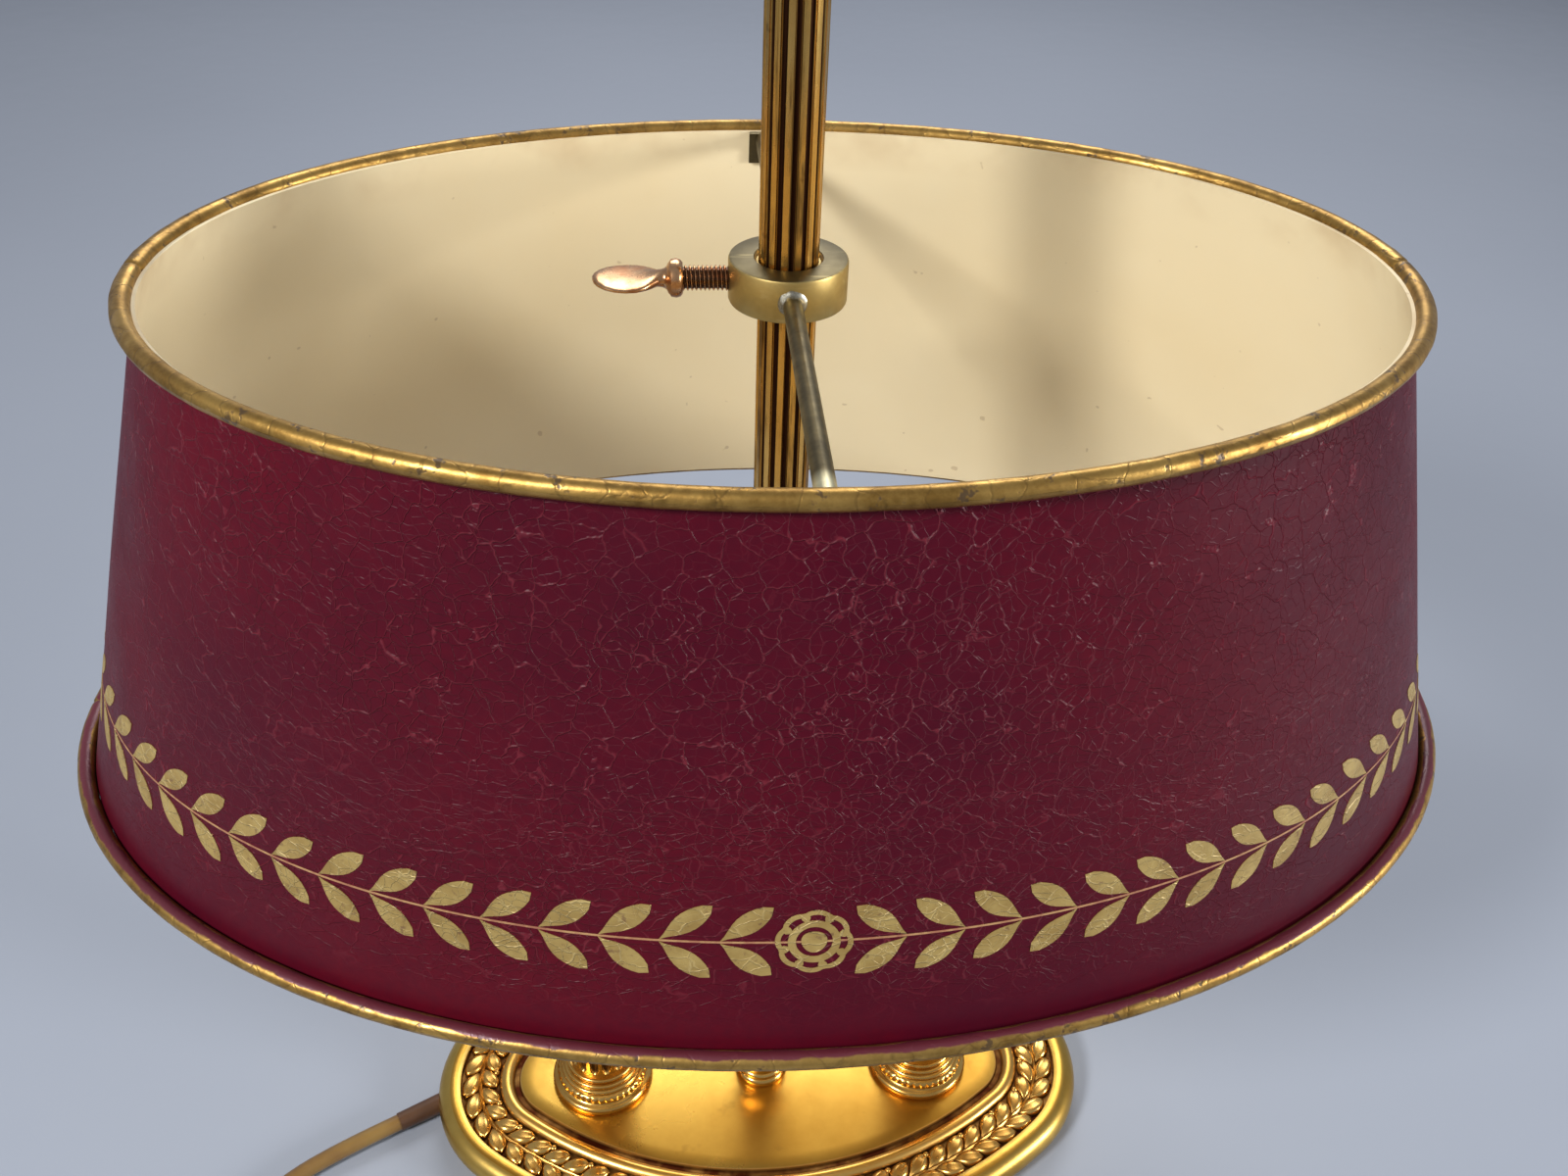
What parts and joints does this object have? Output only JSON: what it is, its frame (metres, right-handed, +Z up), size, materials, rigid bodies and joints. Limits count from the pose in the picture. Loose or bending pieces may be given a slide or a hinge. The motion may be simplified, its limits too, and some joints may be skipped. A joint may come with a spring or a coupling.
{
  "type": "bouillotte lamp",
  "caption": "Table lamp with an oval gilt base, fluted columns with candle lights, and an oval shade that slides and turns on a central stem.",
  "frame": {"origin": "centre of the base's underside, on the stem's axis", "axes": "+Z up along the stem, X along the long axis of base and shade, -Y towards the front"},
  "size_m": [0.3783, 0.2948, 0.479],
  "materials": {
    "gilt_brass": "polished gilt with brown patina",
    "plain_brass": "dull olive brass",
    "screw_brass": "polished rosy brass",
    "rim_gold": "worn gold paint",
    "shade_paint": "crackled oxblood outside, cream inside",
    "cast_iron": "rough",
    "steel": "zinc plated",
    "felt": "felt",
    "ivory_card": "satin",
    "black_resin": "moulded",
    "wire_sheath": "smooth",
    "cord_gold": "smooth golden brown",
    "brown_plastic": "moulded brown",
    "pin_plate": "nickel plated"
  },
  "bodies": {
    "lamp": {"base_shell": "gilt_brass", "ballast": "cast_iron", "base_cover": "steel", "cover_screws": "steel", "felt_pad": "felt", "stem_foot": "gilt_brass", "stem_tube": "gilt_brass", "tie_rod": "steel", "stem_nut": "steel", "stem_cap": "gilt_brass", "finial": "gilt_brass", "column_foot_left": "gilt_brass", "column_foot_right": "gilt_brass", "column_shaft_left": "gilt_brass", "column_shaft_right": "gilt_brass", "column_capital_left": "gilt_brass", "column_capital_right": "gilt_brass", "drip_pan_left": "gilt_brass", "drip_pan_right": "gilt_brass", "candle_sleeve_left": "ivory_card", "candle_sleeve_right": "ivory_card", "lamp_holder_left": "black_resin", "lamp_holder_right": "black_resin", "lamp_shell_left": "plain_brass", "lamp_shell_right": "plain_brass", "lamp_contact_left": "plain_brass", "lamp_contact_right": "plain_brass", "column_pipe_left": "steel", "column_pipe_right": "steel", "column_nuts_left": "steel", "column_nuts_right": "steel", "feed_wire_left": "wire_sheath", "feed_wire_right": "wire_sheath", "terminal_block": "black_resin", "cord_bushing": "cord_gold", "cord_entry": "cord_gold", "cord_lead": "cord_gold", "switch_base": "brown_plastic", "switch_cover": "brown_plastic", "rocker_bearing": "brown_plastic", "cord_middle": "cord_gold", "cord_coil": "cord_gold", "cord_tail": "cord_gold", "plug_body": "brown_plastic", "plug_pins": "pin_plate"},
    "slider": {"collar_liner": "plain_brass"},
    "shade": {"collar": "plain_brass", "shade_arm_front": "plain_brass", "shade_arm_back": "plain_brass", "shade_panel_front": "shade_paint", "shade_panel_back": "shade_paint", "shade_bead_top": "rim_gold", "shade_bead_bottom": "rim_gold"},
    "screw_shoe": {"clamp_shoe": "plain_brass"},
    "thumb_screw": {"thumb_screw": "screw_brass"},
    "rocker": {"switch_rocker": "brown_plastic"}
  },
  "joints": [
    {"name": "shade_slide", "type": "slide", "parent": "lamp", "child": "slider", "axis": [0, 0, 1], "range_m": [-0.08, 0.09]},
    {"name": "shade_turn", "type": "hinge", "parent": "slider", "child": "shade", "pos_m": [0, 0, 0.3184], "axis": [0, 0, 1], "continuous": true},
    {"name": "screw_travel", "type": "slide", "parent": "shade", "child": "screw_shoe", "axis": [-1, 0, 0], "range_m": [0, 0.003]},
    {"name": "screw_turn", "type": "hinge", "parent": "screw_shoe", "child": "thumb_screw", "pos_m": [-0.02, 0, 0.3184], "axis": [-1, 0, 0], "range_deg": [0, 1080]},
    {"name": "rocker_tilt", "type": "hinge", "parent": "lamp", "child": "rocker", "pos_m": [-0.048, -0.091, 0.0076], "axis": [0, 1, 0], "range_deg": [0, 16]}
  ],
  "couplings": [
    {"joint": "screw_turn", "follows": "screw_travel", "rad_per_m": 6282.6}
  ]
}
